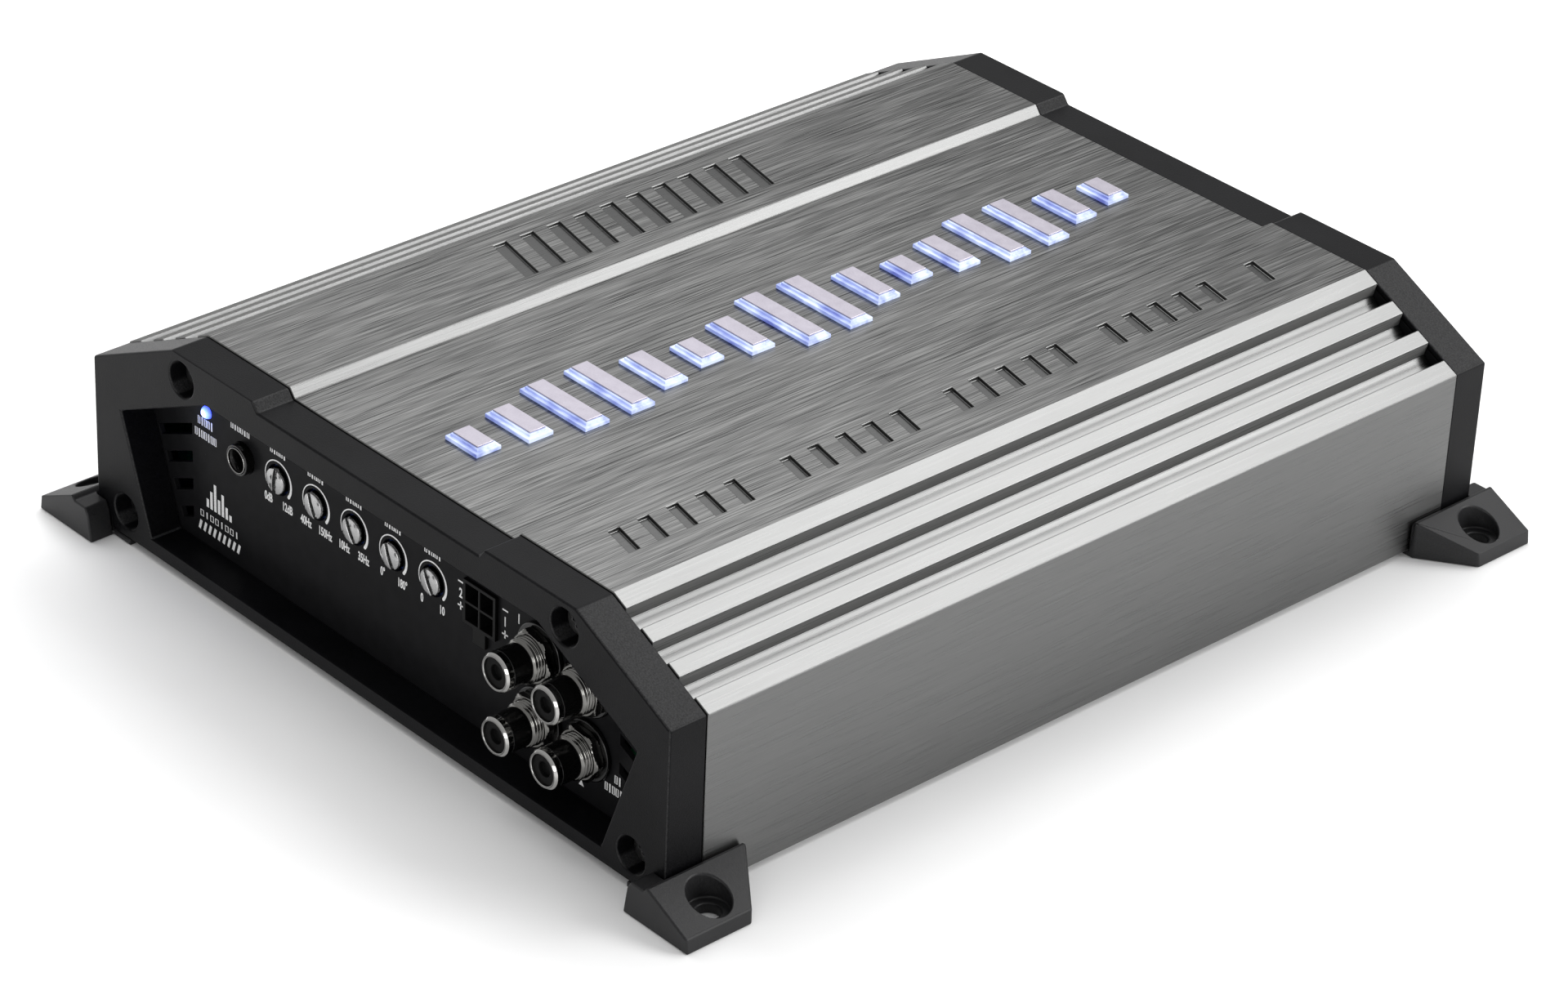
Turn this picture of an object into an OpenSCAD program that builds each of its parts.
// Compact car amplifier: an extruded aluminium heatsink closed by two cast end
// caps, four mounting feet, a control panel at the front and a terminal panel
// at the rear. X runs across the case, the control panel faces -Y, Z is up and
// Z = 0 is the surface that the feet stand on.

/* [Case] */
// Width across the side walls of the heatsink
body_w = 183; // [180:1:200]
// Height of the side plateaus above the resting surface
body_h = 54.5; // [52:0.5:60]
// Length over both end caps
body_l = 229; // [226:1:300]
// Thickness of each end cap, along Y
cap_t = 9.3; // [9:0.1:11]
// Height at which the vertical side walls end
side_z = 41; // [39:0.5:43]
// Half width of the case where the chamfer meets the plateau
plateau_x = 63.7; // [62:0.1:66]
// Half width of the sunken centre field, at its upper edge
field_x = 36.4; // [34:0.1:42]
// Depth of the sunken centre field
field_drop = 2; // [1:0.1:3]
// Thickness of the heatsink's side walls
wall_t = 3; // [3:0.1:4]

/* [Cooling ribs] */
// Depth of the grooves in the chamfer
groove_d = 3.9; // [3:0.1:4.2]
// Number of grooves in each chamfer
groove_n = 3; // [2:1:3]

/* [End cap window] */
// How far the panels sit behind the caps' faces
panel_depth = 8; // [7:0.1:8.5]
// Half width of the window at its lower edge
window_low_x = 72.4; // [70:0.1:74]
// Half width of the window at its widest
window_side_x = 82; // [80:0.1:83]
// Height of the window's widest point
window_side_z = 31.8; // [30:0.1:33]
// Height of the window's upper edge
window_top_z = 46.1; // [44:0.1:47]

/* [Feet] */
// Distance of the mounting holes from the centre line
foot_hole_x = 98.5; // [98:0.1:99]
// Distance of the mounting holes from the caps' faces
foot_hole_in = 4.7; // [4:0.1:6]
// Diameter of the mounting holes
foot_hole_d = 5; // [4:0.1:5.5]
// How far the feet reach past the side walls
foot_out = 13; // [12.5:0.1:14]
// How far the feet reach past the caps' faces
foot_ahead = 5.8; // [5:0.1:7]

/* [Front controls] */
// Height of the row of controls
control_z = 32.2; // [31:0.1:33]
// Distance between neighbouring potentiometers
pot_pitch = 12.5; // [12:0.1:13]
// Diameter of the potentiometer knobs
knob_d = 5.8; // [5:0.1:6.2]
// Distance between neighbouring phono jacks, both ways
rca_pitch = 14.65; // [14:0.05:15]
// Outer diameter of a phono jack's contact shell
rca_d = 8.3; // [8.2:0.05:8.4]
// Inner diameter of the remote jack
jack_d = 3.56; // [3.52:0.01:3.6]

/* [Rear terminals] */
// Distance between neighbouring clamp terminals
way_pitch = 13.5; // [13:0.1:14]
// Distance that a terminal's cage rises when it is screwed shut
cage_travel = 4.5; // [3:0.1:4.8]
// Distance between neighbouring fuses
fuse_pitch = 9; // [8.5:0.1:9.5]

/* [Lit emblem] */
// Number of bars in the lit row
bar_n = 16; // [8:2:16]
// Width of a bar's metal top
bar_w = 4.2; // [3.5:0.1:4.5]
// Length of the longest bar
bar_l_max = 22.6; // [18:0.1:24]

/* [Hidden] */
$fn = 64;

// Reach of a cutting tool past the faces it cuts
over = 1;
// Half sizes of the case
half_w = body_w / 2;
half_l = body_l / 2;
sink_half_l = half_l - cap_t;
// Lower edge of the heatsink and the caps
case_z0 = 1.4;
field_z = body_h - field_drop;
// Horizontal run of the step between a plateau and the centre field
step_run = 1.6;
chamfer_slope = (body_h - side_z) / (half_w - plateau_x);
chamfer_l = norm([half_w - plateau_x, body_h - side_z]);

// Inside of the heatsink
inner_x = half_w - wall_t;
inner_top_z = field_z - 4;
// Thickness of metal left under the chamfer's grooves, and the grooves' depth
chamfer_wall = groove_d + 2.4;
// Ledges that carry the boards and take the screws
ledge_w = 11;
ledge_z0 = 3.4;
ledge_z1 = 11.4;

// Panels
panel_y = half_l - panel_depth;
panel_back_y = sink_half_l;
vent_in_x = 68.2;
vent_t = 2.6;
vent_pitch = 6.65;
vent_top_z = 32.3;
vent_n = 4;

// End cap screws: distance from the centre line and height
cap_screws = [[60.45, 48.7], [81.2, 7.8]];
screw_r = 1.5;
screw_clear_r = 1.7;
counterbore_r = 4;
counterbore_d = 5.5;
screw_head_r = 2.8;
screw_head_t = 2.2;
// Grip of the end cap screws in the heatsink
screw_grip = 9;

// Foot screws: distance from the centre line and from the cap's face
foot_screws = [[87.3, 4.5], [84.5, 14.5]];
// Cover and board screws share one distance from the centre line
ledge_screw_x = 84.5;
cover_screw_y = [-60, 0, 60];
board_screw_y = [-85, -25, 25, 85];
clamp_screw_y = [-55, -25, 25, 55];
transistor_y = [-70, -40, -10, 10, 40, 70];

// Foot
foot_reach_x = half_w + foot_out;
foot_wrap_x = half_w - 5.6;
foot_ridge_z = 8.7;
foot_edge_z = 3.25;
foot_plate_x = half_w - 11.3;
foot_len = 18.9;
foot_outer_len = 10.5;
foot_gap = 0.1;
foot_counterbore_d = 8.9;
foot_counterbore_z = 2.4;

// Boards
board_t = 1.6;
main_board_z = ledge_z1;
main_board_top = main_board_z + board_t;
main_board_half_l = 96;
control_board_y = -98;

// Potentiometers: names follow NODES; the angle of each slot, clockwise from upright
pot_x0 = -38.8;
pot_slots = [6, -23, -28, -23, -28];
knob_proud = 1.3;
knob_slot_half_w = 0.55;
knob_slot_d = 0.95;
pot_shaft_r = 1.5;
pot_fit = 0.05;
pot_body_w = 9.5;
pot_front_y = -panel_back_y + 0.3;

// Phono jacks: distances ahead of the panel, from the washer out to the shell's rim
rca_x = [44.9, 44.9 + rca_pitch];
rca_z = [control_z - rca_pitch, control_z];
rca_places = [for (z = rca_z, x = rca_x) [x, z]];
rca_nut_turn = [50, 4, 10, 40];
washer_out = 1.1;
nut_out = 3.3;
thread_out = 5.6;
sleeve_out = 10.2;
shell_out = 12;
thread_r = 4.7;
rca_core_r = 3.3;
rca_neck_r = 3.7;
rca_pin_r = 1.65;
rca_contact_r = 2;
contact_in = 3.4;
contact_l = 11;

// Remote jack, status light and level input
jack_x = -50.3;
jack_out = 2.2;
jack_barrel_r = 3.45;
jack_ring_r = 2.9;
led_at = [-62.8, 37.3];
led_r = 1.5;
socket_at = [26.5, 33.2];
socket_w = 10;
socket_cell = 3.9;
socket_cell_pitch = 4.5;

// Rear terminals: heights are measured from the underside of the contact bars
bar_z = 24.5;
power_ways = [for (i = [0:2]) -52 + i * way_pitch];
speaker_ways = [for (i = [0:1]) 36 + i * way_pitch];
all_ways = concat(power_ways, speaker_ways);
housing_y1 = half_l + 5.7;
housing_y0 = 94;
housing_low = -10.2;
housing_high = 11.2;
housing_wall = 0.8;
cage_y = [113.6, 119.1];
cage_out_x = 5.4;
cage_in_x = 4.1;
cage_plate_t = 2.6;
cage_floor_t = 1.4;
bar_t = 1.6;
bar_half_w = 3.8;
cable_gap = 7.4;
clamp_screw_at_y = 116.4;
clamp_screw_r = 2.4;
clamp_screw_top = bar_t + 0.2 + cage_plate_t + cage_travel + 0.1;

// Fuses: a blade fuse's body and blades
fuse_x = [for (i = [0:2]) 5 + (i - 1) * fuse_pitch];
fuse_z = 25;
fuse_w = 19.1;
fuse_t = 5.1;
fuse_body_y = [106, 118];
blade_y0 = 99.5;
blade_w = 5.1;
blade_t = 0.7;
blade_gap = 0.3;
fuse_holder_y = [94, 109.5];
fuse_holder_h = 23;

// Lit bars along the centre field
bar_first_y = -half_l + 26;
bar_last_y = half_l - 26;
emblem_x = 1.4;
bar_step = (bar_last_y - bar_first_y) / (bar_n - 1);
bar_base_lip = 1.1;
bar_block_lip = 0.35;
bar_base_t = 0.9;
bar_block_t = 0.6;
bar_metal_t = 0.4;
bar_stem_lip = 0.6;

// Engraved strokes on the two plateaus
engrave_depth = 0.8;

// ---- shared shapes ----

// A plate drawn in X and Z, standing from y0 to y1
module upright(y0, y1) {
    translate([0, y1, 0]) rotate([90, 0, 0]) linear_extrude(y1 - y0) children();
}

// A round bar along Y or along Z, between two places
module rod_y(x, z, r, y0, y1) {
    translate([x, y0, z]) rotate([-90, 0, 0]) cylinder(r = r, h = y1 - y0);
}
module rod_z(x, y, r, z0, z1) {
    translate([x, y, z0]) cylinder(r = r, h = z1 - z0);
}

// A block between two corners
module block(low, high) {
    translate(low) cube(high - low);
}

// Repeats a front shape at the rear
module both_ends() {
    children();
    mirror([0, 1, 0]) children();
}

// Repeats a right-hand shape on the left
module both_sides() {
    children();
    mirror([1, 0, 0]) children();
}

// Point on the right chamfer: a share of the way down it, and a depth below it
function on_chamfer(share, depth) =
    let (run = half_w - plateau_x, fall = body_h - side_z)
    [plateau_x + share * run - depth * fall / chamfer_l,
     body_h - share * fall - depth * run / chamfer_l];

// Mirrors the right half of an outline, listed from the bottom up
function whole(half) =
    concat(half, [for (i = [len(half) - 1:-1:0]) [-half[i][0], half[i][1]]]);

// The case's outline, drawn in by d
function case_outline(d) =
    let (lean = d * (norm([1, chamfer_slope]) - 1) / chamfer_slope)
    whole([
        [half_w - d, case_z0 + d],
        [half_w - d, side_z - d * (norm([1, chamfer_slope]) - chamfer_slope)],
        [plateau_x - lean, body_h - d],
        [field_x + d / 2, body_h - d],
        [field_x - step_run + d / 2, field_z - d]
    ]);

// ---- case ----

// The hollow inside the heatsink, with its ledges left standing
function hollow_outline() =
    let (low = on_chamfer(1, chamfer_wall), high = on_chamfer(0, chamfer_wall),
         corner_z = low[1] + (low[0] - inner_x) * chamfer_slope,
         corner_x = high[0] + (high[1] - inner_top_z) / chamfer_slope)
    whole([
        [inner_x, case_z0 - over],
        [inner_x, ledge_z0],
        [inner_x - ledge_w, ledge_z0],
        [inner_x - ledge_w, ledge_z1],
        [inner_x, ledge_z1],
        [inner_x, corner_z],
        [corner_x, inner_top_z]
    ]);

// Share of the chamfer's width taken by each groove, from the plateau down
function groove_span(i) = [0.135 + 0.28 * i, 0.295 + 0.2815 * i];

// A groove's section: a wall, a narrow shelf at its foot, then a shallow hollow down to the floor
module groove(i) {
    span = groove_span(i);
    lip = 0.5;
    lean = 0.02;
    dip = 0.55;
    shelf_d = groove_d - dip;
    shelf_w = 0.01;
    curve_w = 0.075;
    curve_steps = 4;
    curve = [for (k = [0:curve_steps]) let (t = k / curve_steps)
        on_chamfer(span[0] + lean + shelf_w + curve_w * t, groove_d - dip * (1 - t) * (1 - t))];
    polygon(concat(
        [on_chamfer(span[0], -lip), on_chamfer(span[0], 0), on_chamfer(span[0] + lean, shelf_d)],
        curve,
        [on_chamfer(span[1] - lean, groove_d), on_chamfer(span[1], 0), on_chamfer(span[1], -lip)]
    ));
}

// A slanted stroke cut into a plateau
module engraved_stroke(x0, x1, y, w, lean) {
    translate([0, 0, body_h - engrave_depth]) linear_extrude(engrave_depth + over)
        polygon([[x0, y], [x0, y + w], [x1, y + w + lean], [x1, y + lean]]);
}

// The bars' lengths follow three waves, the highest in the middle
function bar_length(i) =
    let (from_middle = i / (bar_n - 1) - 0.5, wave = cos(from_middle * 540))
    bar_l_max * (0.34 + 0.66 * wave * wave * (1 - 0.55 * abs(from_middle)));
function bar_y(i) = bar_first_y + i * bar_step;

// One bar of the lit row: a flat block, wider or narrower than the metal top by lip
module bar(i, lip, z0, z1) {
    half = bar_length(i) / 2 + lip;
    block([emblem_x - half, bar_y(i) - bar_w / 2 - lip, z0],
          [emblem_x + half, bar_y(i) + bar_w / 2 + lip, z1]);
}

module heatsink() {
    color("silver") difference() {
        union() {
            upright(-sink_half_l, sink_half_l) difference() {
                polygon(case_outline(0));
                polygon(hollow_outline());
                for (i = [0:groove_n - 1]) {
                    groove(i);
                    mirror([1, 0]) groove(i);
                }
            }
            // bosses along the roof for the upper end cap screws
            both_sides() rod_y(cap_screws[0][0], cap_screws[0][1], 3.4, -sink_half_l, sink_half_l);
        }
        both_ends() both_sides() for (s = cap_screws)
            rod_y(s[0], s[1], screw_r, -sink_half_l - over, -sink_half_l + screw_grip);
        both_sides() for (y = cover_screw_y)
            rod_z(ledge_screw_x, y, screw_r, ledge_z0 - over, ledge_z0 + 4.6);
        both_sides() for (y = board_screw_y)
            rod_z(ledge_screw_x, y, screw_r, ledge_z1 - 5, ledge_z1 + over);
        both_ends() both_sides()
            rod_z(foot_screws[1][0], -half_l + foot_screws[1][1], screw_r, 0, ledge_z0 + 4.6);
        both_sides() for (y = clamp_screw_y)
            translate([inner_x - over, y, 24.5]) rotate([0, 90, 0]) cylinder(r = screw_r, h = over + 2);
        for (i = [0:bar_n - 1]) bar(i, -bar_stem_lip, inner_top_z - over, field_z + over);
        // row of broad strokes on the left plateau, and of fine strokes on the right
        for (i = [0:9]) engraved_stroke(-58.5, -43.5, -34.5 + i * 7.4, 3.6, -3.4);
        for (i = [0:24]) if (i % 6 != 5)
            engraved_stroke(46, 54.6, -91.5 + i * 7.4, 2.8, -2);
    }
}

module window_outline() {
    top_x = window_side_x - (window_top_z - window_side_z) / chamfer_slope;
    polygon(whole([[window_low_x, 5.2], [window_side_x, window_side_z], [top_x, window_top_z]]));
}

// Front cap; the rear one is its mirror image
module end_cap() {
    color([0.13, 0.13, 0.14]) difference() {
        upright(-half_l, -sink_half_l) polygon(case_outline(0.2));
        upright(-half_l - over, -sink_half_l + over) window_outline();
        upright(-half_l + panel_depth, -sink_half_l + over) polygon(case_outline(1.6));
        both_sides() for (s = cap_screws) {
            rod_y(s[0], s[1], counterbore_r, -half_l - over, -half_l + counterbore_d);
            rod_y(s[0], s[1], screw_clear_r, -half_l, -sink_half_l + over);
        }
        both_sides()
            rod_z(foot_screws[0][0], -half_l + foot_screws[0][1], screw_r, 0, 5.4);
    }
}

// Slots that follow the slope of the chamfer and end at the window's side
module vent(i) {
    z = vent_top_z - i * vent_pitch;
    rise = (window_side_x - window_low_x) / (window_side_z - 5.2);
    top_x = window_low_x + (z - 5 - 5.2) * rise - 0.4;
    low_x = top_x - vent_t * rise;
    slope = 0.45;
    polygon([
        [vent_in_x, z],
        [top_x, z - (top_x - vent_in_x) * slope],
        [low_x, z - vent_t - (low_x - vent_in_x) * slope],
        [vent_in_x, z - vent_t]
    ]);
}

// A blank panel at the front, with the vents and the holes that both ends share
module panel_blank() {
    difference() {
        upright(-panel_y, -panel_back_y) polygon(case_outline(1.8));
        upright(-panel_y - over, -panel_back_y + over) both_sides()
            for (i = [0:vent_n - 1]) vent(i);
        both_sides() for (s = cap_screws)
            rod_y(s[0], s[1], screw_clear_r, -panel_y - over, -panel_back_y + over);
    }
}

module front_panel() {
    y0 = -panel_y - over;
    y1 = -panel_back_y + over;
    color([0.06, 0.06, 0.07]) difference() {
        panel_blank();
        for (i = [0:4]) rod_y(pot_x0 + i * pot_pitch, control_z, knob_d / 2 + 0.5, y0, y1);
        for (p = rca_places) rod_y(p[0], p[1], thread_r, y0, y1);
        rod_y(jack_x, control_z, jack_barrel_r + 0.05, y0, y1);
        rod_y(led_at[0], led_at[1], led_r, y0, y1);
        upright(y0, y1) level_input_outline();
    }
}

module rear_panel() {
    y0 = panel_back_y - over;
    y1 = panel_y + over;
    color([0.06, 0.06, 0.07]) difference() {
        mirror([0, 1, 0]) panel_blank();
        upright(y0, y1) {
            housing_outline(power_ways);
            housing_outline(speaker_ways);
            fuse_holder_outline();
        }
    }
}

module bottom_cover() {
    half = [inner_x - 0.2, sink_half_l - 0.1];
    color([0.2, 0.2, 0.21]) difference() {
        block([-half[0], -half[1], ledge_z0 - 1.5], [half[0], half[1], ledge_z0]);
        both_sides() for (y = cover_screw_y) countersink(ledge_screw_x, y, ledge_z0 - 1.5);
        both_ends() both_sides()
            rod_z(foot_screws[1][0], -half_l + foot_screws[1][1], screw_clear_r, 0, ledge_z0 + over);
    }
}

// ---- feet ----

// Front right foot; the other three are its mirror images
module foot() {
    y0 = -half_l;
    hole_y = y0 + foot_hole_in;
    wall_x = half_w + foot_gap;
    color([0.15, 0.15, 0.16]) difference() {
        union() {
            // the sloping lug beside the case, cut back at its inner end
            intersection() {
                upright(y0 - foot_ahead, y0 + foot_len) lug_section(wall_x);
                linear_extrude(foot_ridge_z) polygon([
                    [wall_x, y0 - foot_ahead], [foot_reach_x, y0 - foot_ahead],
                    [foot_reach_x, y0 + foot_outer_len], [wall_x + 1.4, y0 + foot_len],
                    [wall_x, y0 + foot_len]
                ]);
            }
            // the part that wraps round in front of the cap's corner
            upright(y0 - foot_ahead, y0 - foot_gap) polygon([
                [foot_wrap_x, 0], [wall_x, 0], [wall_x, foot_ridge_z - 0.9],
                [foot_wrap_x + 2, foot_ridge_z - 0.9], [foot_wrap_x + 1, foot_ridge_z - 2.6]
            ]);
            // the thin plate under the case
            block([foot_plate_x, y0, 0], [wall_x, y0 + foot_len, case_z0]);
            block([foot_wrap_x, y0 - foot_gap, 0], [wall_x, y0, case_z0]);
        }
        rod_z(foot_hole_x, hole_y, foot_hole_d / 2, -over, foot_ridge_z);
        rod_z(foot_hole_x, hole_y, foot_counterbore_d / 2, foot_counterbore_z, foot_ridge_z + over);
        for (s = foot_screws) countersink(s[0], y0 + s[1], 0);
    }
}

module lug_section(wall_x) {
    polygon([
        [wall_x, 0], [foot_reach_x, 0], [foot_reach_x - 0.4, foot_edge_z],
        [wall_x + 1.2, foot_ridge_z], [wall_x + 0.8, foot_ridge_z], [wall_x, foot_ridge_z - 0.9]
    ]);
}

// ---- fasteners ----

// Clearance for a countersunk screw whose head lies in the face at z, pointing up
module countersink(x, y, z) {
    translate([x, y, z - 0.01]) cylinder(r1 = 2.9, r2 = 1.6, h = 1.31);
    rod_z(x, y, 1.6, z - over, z + 3);
}

// Countersunk screw with its flat head at z and its tip above
module countersunk_screw(x, y, z, l) {
    translate([x, y, z]) difference() {
        union() {
            cylinder(r1 = 2.8, r2 = 1.5, h = 1.3);
            cylinder(r = screw_r, h = l);
        }
        translate([0, 0, -over]) cross_recess(1.9 + over - 1);
    }
}

// Pan head screw along +Z: the head's underside at 0, the shank below it
module pan_screw(l) {
    difference() {
        union() {
            cylinder(r = screw_head_r, h = screw_head_t);
            translate([0, 0, -l]) cylinder(r = screw_r, h = l);
        }
        translate([0, 0, screw_head_t - 1.3]) cross_recess(1.3 + over);
    }
}

module cross_recess(h) {
    for (turn = [0, 90]) rotate([0, 0, turn]) translate([-1.5, -0.35, 0]) cube([3, 0.7, h]);
}

module end_cap_screws() {
    color([0.55, 0.55, 0.57]) both_ends() both_sides() for (s = cap_screws)
        translate([s[0], -half_l + counterbore_d, s[1]]) rotate([90, 0, 0])
            pan_screw(cap_t - counterbore_d + screw_grip - 1);
}

module cover_and_foot_screws() {
    color([0.4, 0.4, 0.42]) {
        both_sides() for (y = cover_screw_y)
            countersunk_screw(ledge_screw_x, y, ledge_z0 - 1.5, 5.6);
        both_ends() both_sides() {
            countersunk_screw(foot_screws[0][0], -half_l + foot_screws[0][1], 0, 5);
            countersunk_screw(foot_screws[1][0], -half_l + foot_screws[1][1], 0, 7.6);
        }
    }
}

module internal_screws() {
    color([0.7, 0.7, 0.72]) both_sides() {
        for (y = board_screw_y)
            translate([ledge_screw_x, y, main_board_top]) pan_screw(board_t + 4.5);
        for (y = clamp_screw_y)
            translate([inner_x - 7.6, y, 24.5]) rotate([0, -90, 0]) pan_screw(9.1);
    }
}

// ---- boards and the parts on them ----

module main_board() {
    half_x = inner_x - 0.5;
    color([0.05, 0.3, 0.15]) difference() {
        block([-half_x, -main_board_half_l, main_board_z],
              [half_x, main_board_half_l - 4, main_board_top]);
        both_sides() for (y = board_screw_y)
            rod_z(ledge_screw_x, y, screw_clear_r, main_board_z - over, main_board_top + over);
    }
}

module control_board() {
    color([0.05, 0.3, 0.15]) difference() {
        block([-70, control_board_y, 12], [68, control_board_y + board_t, 43.5]);
        for (p = rca_places)
            rod_y(p[0], p[1], 0.7, control_board_y - over, control_board_y + board_t + over);
        rod_y(jack_x, control_z, jack_d / 2, control_board_y - over, control_board_y + board_t + over);
    }
}

module pot_bodies() {
    color([0.1, 0.15, 0.35]) for (i = [0:4]) difference() {
        x = pot_x0 + i * pot_pitch;
        block([x - pot_body_w / 2, pot_front_y, control_z - pot_body_w / 2],
              [x + pot_body_w / 2, control_board_y, control_z + pot_body_w / 2]);
        rod_y(x, control_z, pot_shaft_r + pot_fit, pot_front_y - over, control_board_y - 0.6);
    }
}

// A slotted, slightly domed knob on the shaft of potentiometer i
module pot(i) {
    dome_r = 14;
    face_y = -panel_y - knob_proud;
    shoulder_y = pot_front_y - 0.3;
    color([0.75, 0.75, 0.76]) translate([pot_x0 + i * pot_pitch, 0, control_z]) {
        difference() {
            intersection() {
                rod_y(0, 0, knob_d / 2, face_y, shoulder_y);
                translate([0, face_y + dome_r, 0]) sphere(r = dome_r);
            }
            rotate([0, pot_slots[i], 0])
                block([-knob_slot_half_w, face_y - over, -knob_d],
                      [knob_slot_half_w, face_y + knob_slot_d, knob_d]);
        }
        rod_y(0, 0, pot_shaft_r, shoulder_y, control_board_y - 0.8);
    }
}

// ---- phono jacks ----

module rca_barrels() {
    color([0.8, 0.78, 0.74]) for (p = rca_places) difference() {
        union() {
            rod_y(p[0], p[1], rca_d / 2, -panel_y - shell_out, -panel_y - sleeve_out);
            rod_y(p[0], p[1], rca_neck_r, -panel_y - sleeve_out, -panel_y - thread_out);
            rod_y(p[0], p[1], thread_r, -panel_y - thread_out, -panel_back_y);
            rod_y(p[0], p[1], 6.2, -panel_back_y, -panel_back_y + 1.2);
        }
        rod_y(p[0], p[1], rca_core_r, -panel_y - shell_out - over, -panel_back_y + 1.2 + over);
    }
}

module rca_sleeves() {
    color([0.05, 0.05, 0.05]) for (p = rca_places) difference() {
        rod_y(p[0], p[1], rca_d / 2, -panel_y - sleeve_out, -panel_y - thread_out);
        rod_y(p[0], p[1], rca_neck_r, -panel_y - sleeve_out - over, -panel_y - thread_out + over);
    }
}

module rca_insulators() {
    front = -panel_y - shell_out + 0.6;
    color([0.08, 0.08, 0.08]) for (p = rca_places) difference() {
        rod_y(p[0], p[1], rca_core_r, front, control_board_y);
        rod_y(p[0], p[1], rca_pin_r, front - over, front + over);
        rod_y(p[0], p[1], rca_contact_r, front + contact_in - 0.6, control_board_y + over);
    }
}

module rca_contacts() {
    front = -panel_y - shell_out + contact_in;
    color([0.7, 0.6, 0.35]) for (p = rca_places) difference() {
        union() {
            rod_y(p[0], p[1], rca_contact_r, front, front + contact_l);
            rod_y(p[0], p[1], 0.6, front + contact_l, control_board_y + board_t + 1.2);
        }
        rod_y(p[0], p[1], rca_pin_r, front - over, front + contact_l - 1);
    }
}

module rca_nuts() {
    color([0.78, 0.76, 0.72]) for (i = [0:3]) difference() {
        translate([rca_places[i][0], -panel_y - nut_out, rca_places[i][1]])
            rotate([0, rca_nut_turn[i], 0]) rotate([-90, 30, 0])
                cylinder(r = 6.06, h = nut_out - washer_out, $fn = 6);
        rod_y(rca_places[i][0], rca_places[i][1], thread_r, -panel_y - nut_out - over, -panel_y);
    }
}

module rca_washers() {
    color([0.06, 0.06, 0.06]) for (p = rca_places) difference() {
        rod_y(p[0], p[1], 6.6, -panel_y - washer_out, -panel_y);
        rod_y(p[0], p[1], thread_r, -panel_y - washer_out - over, -panel_y + over);
    }
}

// ---- remote jack, status light, level input ----

module remote_jack_body() {
    block_half = 4.5;
    color([0.05, 0.05, 0.05]) difference() {
        union() {
            rod_y(jack_x, control_z, jack_barrel_r, -panel_y - jack_out + 0.2, -panel_back_y);
            block([jack_x - block_half, -panel_back_y, control_z - block_half],
                  [jack_x + block_half, control_board_y, control_z + block_half]);
        }
        rod_y(jack_x, control_z, jack_ring_r, -panel_y - jack_out - over, control_board_y + over);
    }
}

module remote_jack_ring() {
    color([0.8, 0.8, 0.8]) difference() {
        rod_y(jack_x, control_z, jack_ring_r, -panel_y - jack_out, control_board_y);
        rod_y(jack_x, control_z, jack_d / 2, -panel_y - jack_out - over, control_board_y + over);
    }
}

module status_led() {
    color([0.5, 0.6, 1]) {
        rod_y(led_at[0], led_at[1], led_r, -panel_y + 0.3, control_board_y);
        translate([led_at[0], -panel_y + 0.3, led_at[1]]) sphere(r = led_r);
    }
}

// The socket's outline in the panel, with the lug for its latch below
module level_input_outline() {
    translate(socket_at - [socket_w, socket_w] / 2) square(socket_w);
    translate(socket_at - [1.8, socket_w / 2 + 3.3]) square([3.8, 3.4]);
}

module level_input_socket() {
    front = -panel_y - 0.8;
    color([0.05, 0.05, 0.05]) difference() {
        upright(front, control_board_y) level_input_outline();
        for (i = [-0.5, 0.5], j = [-0.5, 0.5])
            block([socket_at[0] + i * socket_cell_pitch - socket_cell / 2, front - over,
                   socket_at[1] + j * socket_cell_pitch - socket_cell / 2],
                  [socket_at[0] + i * socket_cell_pitch + socket_cell / 2, front + 8,
                   socket_at[1] + j * socket_cell_pitch + socket_cell / 2]);
    }
}

module level_input_pins() {
    color([0.8, 0.75, 0.5]) for (i = [-0.5, 0.5], j = [-0.5, 0.5])
        rod_y(socket_at[0] + i * socket_cell_pitch, socket_at[1] + j * socket_cell_pitch,
              0.55, -panel_y + 3, -panel_y + 7.2);
}

// ---- rear terminals ----

module housing_outline(ways) {
    edge = way_pitch / 2 + 0.75;
    last = ways[len(ways) - 1];
    translate([ways[0] - edge, bar_z + housing_low])
        square([last - ways[0] + 2 * edge, housing_high - housing_low]);
}

// A block with one cage chamber, cable entry and tool hole for each way
module terminal_housing(ways) {
    chamber = [housing_y1 - 7, housing_y1 - housing_wall];
    color([0.05, 0.05, 0.05]) difference() {
        upright(housing_y0, housing_y1) housing_outline(ways);
        for (x = ways) {
            block([x - cage_out_x - 0.3, chamber[0], bar_z + housing_low + 1],
                  [x + cage_out_x + 0.3, chamber[1], bar_z + housing_high - 1.8]);
            // cable entry, and the pocket behind the cage for the cable's end
            block([x - cage_in_x, 106, bar_z - cable_gap + 0.2],
                  [x + cage_in_x, housing_y1 + over, bar_z]);
            block([x - bar_half_w, housing_y0 - over, bar_z],
                  [x + bar_half_w, chamber[1], bar_z + bar_t]);
            rod_z(x, clamp_screw_at_y, 1.8, bar_z, bar_z + housing_high + over);
        }
    }
}

module power_terminal_housing() { terminal_housing(power_ways); }
module speaker_terminal_housing() { terminal_housing(speaker_ways); }

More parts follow.
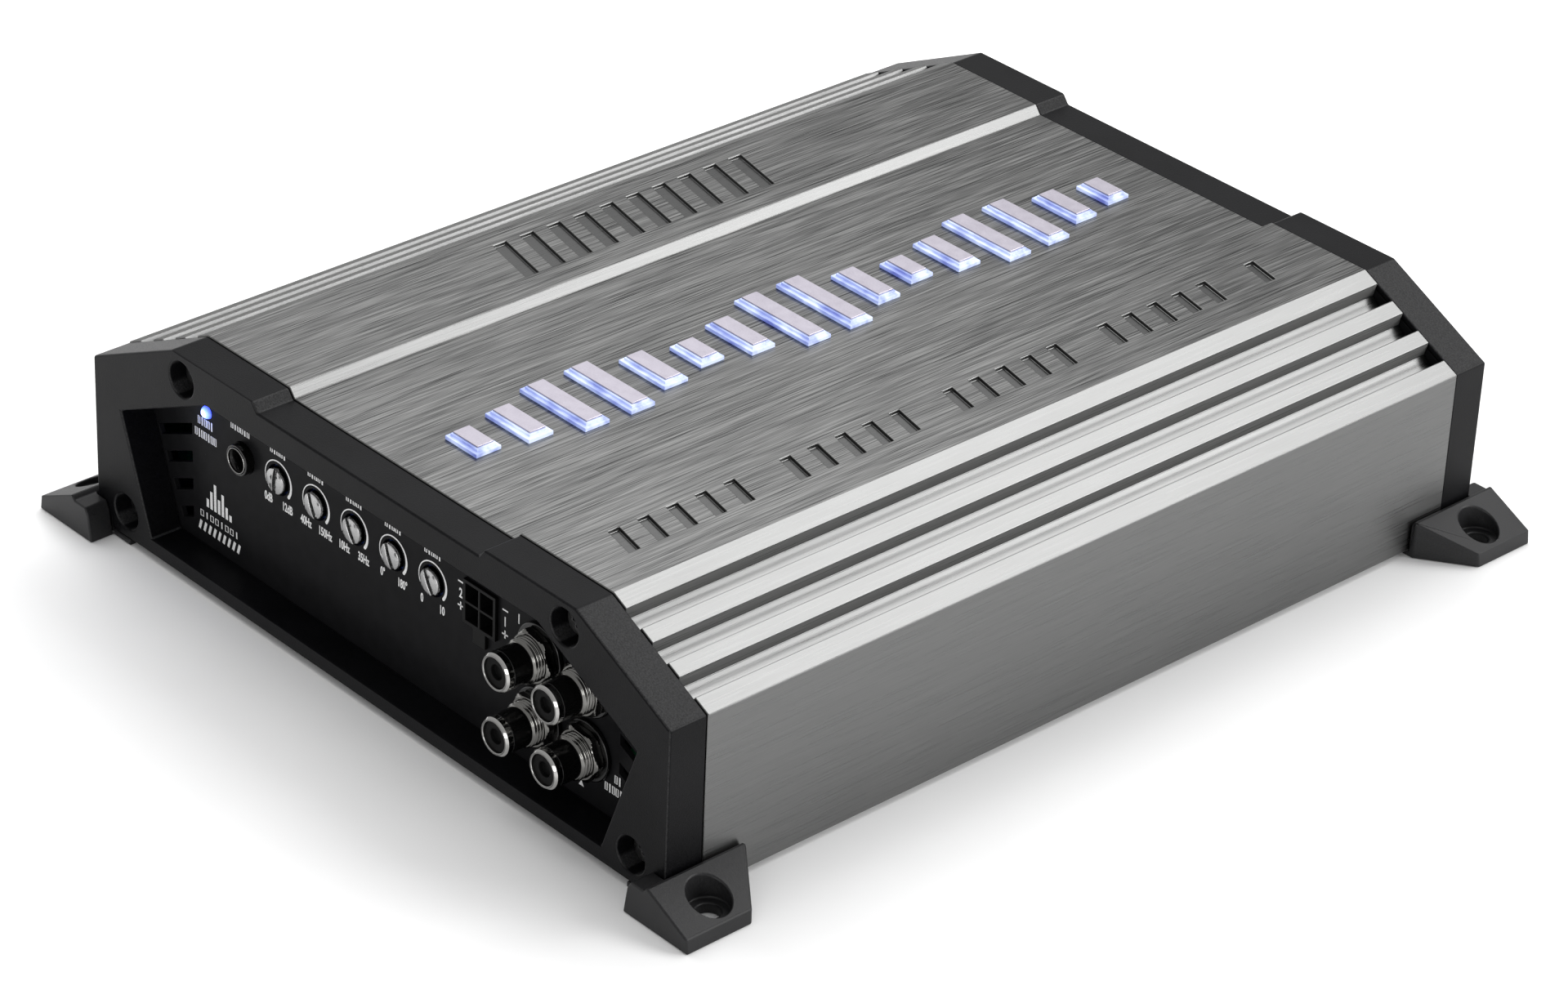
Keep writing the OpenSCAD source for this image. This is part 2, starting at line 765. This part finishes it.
// Contact bars of the clamp terminals and the spring contacts of the fuses
module terminal_contacts() {
    color([0.8, 0.7, 0.4]) {
        for (x = all_ways) {
            block([x - bar_half_w, housing_y0 - 5, bar_z],
                  [x + bar_half_w, cage_y[1] - 0.1, bar_z + bar_t]);
            block([x - bar_half_w, housing_y0 - 5, main_board_top],
                  [x + bar_half_w, housing_y0 - 3.4, bar_z]);
        }
        for (x = fuse_x, side = [-1, 1])
            block([x - 1, fuse_holder_y[0] - 4, fuse_z + side * (fuse_w / 2 - blade_w / 2) - 2],
                  [x + 1, fuse_holder_y[0], fuse_z + side * (fuse_w / 2 - blade_w / 2) + 2]);
    }
}

// Clamp screw of a way: it turns in place on the contact bar
module clamp_screw(x) {
    z0 = bar_z + bar_t;
    z1 = bar_z + clamp_screw_top;
    color([0.75, 0.75, 0.76]) difference() {
        rod_z(x, clamp_screw_at_y, clamp_screw_r, z0 + 0.05, z1);
        translate([x, clamp_screw_at_y, z1 - 1.8]) cylinder(r = 1.5, h = 1.8 + over, $fn = 6);
    }
}

// Cage of a way, in its open position
module clamp_cage(x) {
    low = bar_z - cable_gap - cage_floor_t;
    high = bar_z + bar_t + 0.2 + cage_plate_t;
    color([0.72, 0.68, 0.5]) difference() {
        block([x - cage_out_x, cage_y[0], low], [x + cage_out_x, cage_y[1], high]);
        block([x - cage_in_x, cage_y[0] - over, low + cage_floor_t],
              [x + cage_in_x, cage_y[1] + over, high - cage_plate_t]);
        rod_z(x, clamp_screw_at_y, clamp_screw_r + pot_fit, bar_z, high + over);
    }
}

// ---- fuses ----

module fuse_holder_outline() {
    half = fuse_pitch * 1.5 + 1;
    translate([fuse_x[1] - half, fuse_z - fuse_holder_h / 2]) square([2 * half, fuse_holder_h]);
}

module fuse_holder() {
    gap = 0.3;
    color([0.07, 0.07, 0.07]) difference() {
        upright(fuse_holder_y[0], fuse_holder_y[1]) fuse_holder_outline();
        for (x = fuse_x) {
            block([x - fuse_t / 2 - gap, fuse_body_y[0] - gap, fuse_z - fuse_w / 2 - gap],
                  [x + fuse_t / 2 + gap, fuse_holder_y[1] + over, fuse_z + fuse_w / 2 + gap]);
            for (side = [-1, 1]) block(
                [x - blade_t / 2 - blade_gap, fuse_holder_y[0] + 2,
                 fuse_z + side * (fuse_w - blade_w - 2) / 2 - blade_w / 2 - blade_gap],
                [x + blade_t / 2 + blade_gap, fuse_body_y[0],
                 fuse_z + side * (fuse_w - blade_w - 2) / 2 + blade_w / 2 + blade_gap]);
        }
    }
}

// Blade fuse: a waisted body with a grip rim, and two blades
module fuse(i) {
    x = fuse_x[i];
    rim = fuse_body_y[1] - 3;
    blade_z = (fuse_w - blade_w - 2) / 2;
    color([0.9, 0.45, 0.05]) {
        difference() {
            block([x - fuse_t / 2, fuse_body_y[0], fuse_z - fuse_w / 2],
                  [x + fuse_t / 2, fuse_body_y[1], fuse_z + fuse_w / 2]);
            for (side = [-1, 1]) translate([x + side * fuse_t / 2, 0, fuse_z])
                block([-0.7, fuse_body_y[0] + 4, -fuse_w / 2 - over], [0.7, rim, fuse_w / 2 + over]);
        }
        for (side = [-1, 1])
            block([x - blade_t / 2, blade_y0, fuse_z + side * blade_z - blade_w / 2],
                  [x + blade_t / 2, fuse_body_y[0], fuse_z + side * blade_z + blade_w / 2]);
    }
}

// ---- lit emblem ----

module emblem_light_board() {
    half_y = bar_last_y + 6;
    color([0.9, 0.9, 0.92]) {
        block([emblem_x - 14, -half_y, inner_top_z - 3.2], [emblem_x + 14, half_y, inner_top_z - 1.6]);
        // two light-emitting chips under each bar, and pads that space the board off the roof
        for (i = [0:bar_n - 1], side = [-1, 1])
            block([emblem_x + side * 3 - 1, bar_y(i) - 1, inner_top_z - 1.6],
                  [emblem_x + side * 3 + 1, bar_y(i) + 1, inner_top_z - 0.8]);
        for (y = [-half_y, half_y - 4])
            block([emblem_x - 14, y, inner_top_z - 1.6], [emblem_x + 14, y + 4, inner_top_z]);
    }
}

module emblem_diffusers() {
    step_z = field_z + bar_base_t;
    color([0.45, 0.55, 1, 0.8]) for (i = [0:bar_n - 1]) {
        bar(i, -bar_stem_lip, inner_top_z, field_z);
        bar(i, bar_base_lip, field_z, step_z);
        bar(i, bar_block_lip, step_z, step_z + bar_block_t);
    }
}

module emblem_tops() {
    z0 = field_z + bar_base_t + bar_block_t;
    color([0.8, 0.8, 0.88]) for (i = [0:bar_n - 1]) bar(i, 0, z0, z0 + bar_metal_t);
}

// ---- power parts inside ----

module toroid_core() {
    color([0.75, 0.7, 0.3]) translate([-30, 35, main_board_top + 1.6])
        rotate_extrude() translate([12, 0]) square([9, 16]);
}

// Turns of thick wire round the core, as square loops
module toroid_winding() {
    turns = 20;
    color([0.72, 0.4, 0.2]) for (i = [0:turns - 1])
        translate([-30, 35, main_board_top + 1.6]) rotate([0, 0, i * 360 / turns]) difference() {
            block([10.5, -0.8, -1.5], [22.5, 0.8, 17.5]);
            block([11.9, -over, 0], [21.05, over, 16]);
        }
}

module output_choke() {
    color([0.25, 0.25, 0.27]) translate([40, -40, main_board_top]) difference() {
        block([-14, -14, 0], [14, 14, 24]);
        block([-14 - over, -9, 4], [14 + over, 9, 20]);
    }
    color([0.72, 0.4, 0.2]) translate([40, -40, main_board_top + 4]) cylinder(r = 8.5, h = 16);
}

module capacitors() {
    color([0.1, 0.12, 0.3]) {
        for (x = [-66, -46, 46, 66], y = [72])
            rod_z(x, y, 9, main_board_top, main_board_top + 27);
        for (x = [-20, 0, 20], y = [-70])
            rod_z(x, y, 8, main_board_top, main_board_top + 24);
    }
}

// Flat packages that stand against the side walls on three leads
module transistors() {
    x1 = inner_x - 0.4;
    color([0.08, 0.08, 0.08]) both_sides() for (y = transistor_y) {
        block([x1 - 4.2, y - 5, main_board_top + 4], [x1, y + 5, main_board_top + 19]);
        for (lead = [-1, 0, 1]) block([x1 - 2.4, y + lead * 2.54 - 0.4, main_board_top],
                                      [x1 - 1.8, y + lead * 2.54 + 0.4, main_board_top + 4]);
    }
}

module insulating_pads() {
    color([0.75, 0.75, 0.7]) both_sides() for (y = transistor_y)
        block([inner_x - 0.4, y - 5.5, main_board_top + 3.5], [inner_x, y + 5.5, main_board_top + 20]);
}

module transistor_clamp_bars() {
    x1 = inner_x - 4.6;
    thick = 3;
    bar_half_l = 78;
    z = [21, 28];
    color([0.7, 0.7, 0.72]) both_sides() difference() {
        block([x1 - thick, -bar_half_l, z[0]], [x1, bar_half_l, z[1]]);
        for (y = clamp_screw_y)
            translate([x1 - thick - over, y, (z[0] + z[1]) / 2]) rotate([0, 90, 0])
                cylinder(r = screw_clear_r, h = thick + 2 * over);
    }
}

// ---- which sub-part to draw ----

heatsink();
end_cap();  // front_end_cap
mirror([0, 1, 0]) end_cap();  // rear_end_cap
front_panel();
rear_panel();
bottom_cover();
mirror([1, 0, 0]) foot();  // foot_front_left
foot();  // foot_front_right
mirror([1, 0, 0]) mirror([0, 1, 0]) foot();  // foot_rear_left
mirror([0, 1, 0]) foot();  // foot_rear_right
end_cap_screws();
cover_and_foot_screws();
internal_screws();
main_board();
control_board();
pot_bodies();
pot(0);  // bass_boost_pot
pot(1);  // low_pass_pot
pot(2);  // subsonic_pot
pot(3);  // phase_pot
pot(4);  // input_gain_pot
rca_barrels();
rca_sleeves();
rca_insulators();
rca_contacts();
rca_nuts();
rca_washers();
remote_jack_body();
remote_jack_ring();
status_led();
level_input_socket();
level_input_pins();
power_terminal_housing();
speaker_terminal_housing();
terminal_contacts();
clamp_screw(power_ways[0]);  // supply_clamp_screw
clamp_screw(power_ways[1]);  // remote_clamp_screw
clamp_screw(power_ways[2]);  // ground_clamp_screw
clamp_screw(speaker_ways[0]);  // speaker_plus_clamp_screw
clamp_screw(speaker_ways[1]);  // speaker_minus_clamp_screw
clamp_cage(power_ways[0]);  // supply_clamp_cage
clamp_cage(power_ways[1]);  // remote_clamp_cage
clamp_cage(power_ways[2]);  // ground_clamp_cage
clamp_cage(speaker_ways[0]);  // speaker_plus_clamp_cage
clamp_cage(speaker_ways[1]);  // speaker_minus_clamp_cage
fuse_holder();
fuse(0);  // fuse_one
fuse(1);  // fuse_two
fuse(2);  // fuse_three
emblem_light_board();
emblem_diffusers();
emblem_tops();
toroid_core();
toroid_winding();
output_choke();
capacitors();
transistors();
insulating_pads();
transistor_clamp_bars();
